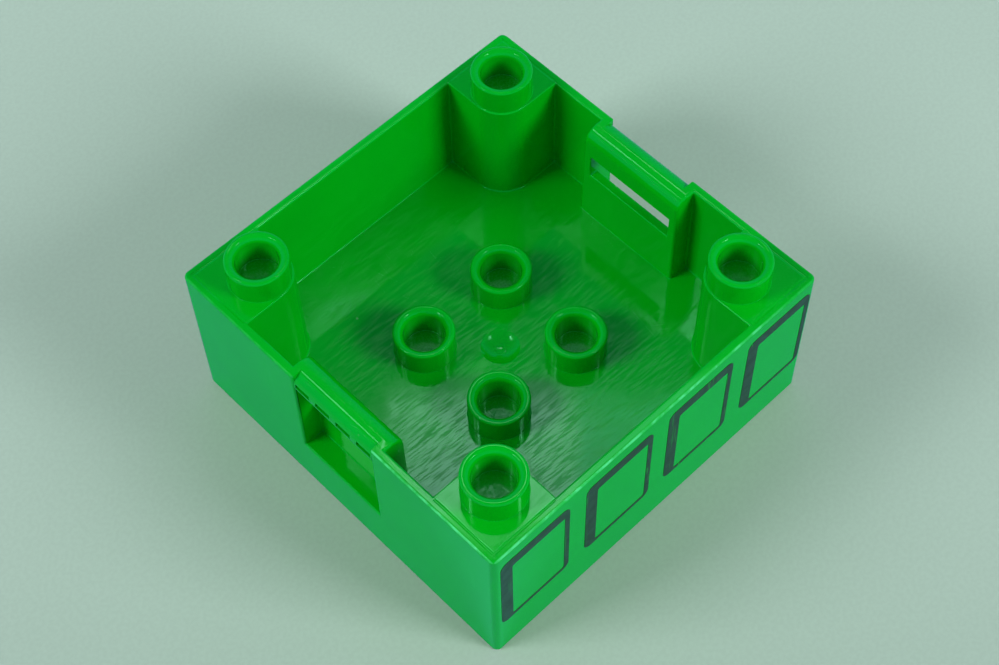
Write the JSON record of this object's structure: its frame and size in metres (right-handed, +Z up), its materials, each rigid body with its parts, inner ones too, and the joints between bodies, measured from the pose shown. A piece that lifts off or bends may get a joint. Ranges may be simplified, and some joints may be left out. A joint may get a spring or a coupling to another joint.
{
  "type": "building block storage box",
  "caption": "Open square tray that builds like a toy brick, with a stud on a hollow post in each corner, studs on the floor and a finger grip in two facing walls.",
  "frame": {"origin": "middle of the square footprint, on the surface that the box stands on", "axes": "+Z up out of the open top, -Y out of the wall with the printed frames, +X and -X out of the two walls with the finger grips"},
  "size_m": [0.0638, 0.0639, 0.0332],
  "materials": {
    "green_plastic": "glossy, evenly bright green",
    "frame_ink": "thin satin print, dark grey-green"
  },
  "bodies": {
    "root": {"floor_plate": "green_plastic", "front_wall": "green_plastic", "back_wall": "green_plastic", "right_wall": "green_plastic", "right_grip_housing": "green_plastic", "right_grip_bar": "green_plastic", "left_wall": "green_plastic", "left_grip_housing": "green_plastic", "left_grip_bar": "green_plastic", "back_right_post": "green_plastic", "back_right_post_stud": "green_plastic", "back_right_floor_stud": "green_plastic", "back_left_post": "green_plastic", "back_left_post_stud": "green_plastic", "back_left_floor_stud": "green_plastic", "front_left_post": "green_plastic", "front_left_post_stud": "green_plastic", "front_left_floor_stud": "green_plastic", "front_right_post": "green_plastic", "front_right_post_stud": "green_plastic", "front_right_floor_stud": "green_plastic", "clutch_tube_1_1": "green_plastic", "clutch_tube_1_2": "green_plastic", "clutch_tube_1_3": "green_plastic", "clutch_tube_2_1": "green_plastic", "clutch_tube_2_2": "green_plastic", "clutch_tube_2_3": "green_plastic", "clutch_tube_3_1": "green_plastic", "clutch_tube_3_2": "green_plastic", "clutch_tube_3_3": "green_plastic", "printed_frame_1": "frame_ink", "printed_frame_2": "frame_ink", "printed_frame_3": "frame_ink", "printed_frame_4": "frame_ink"}
  },
  "joints": []
}
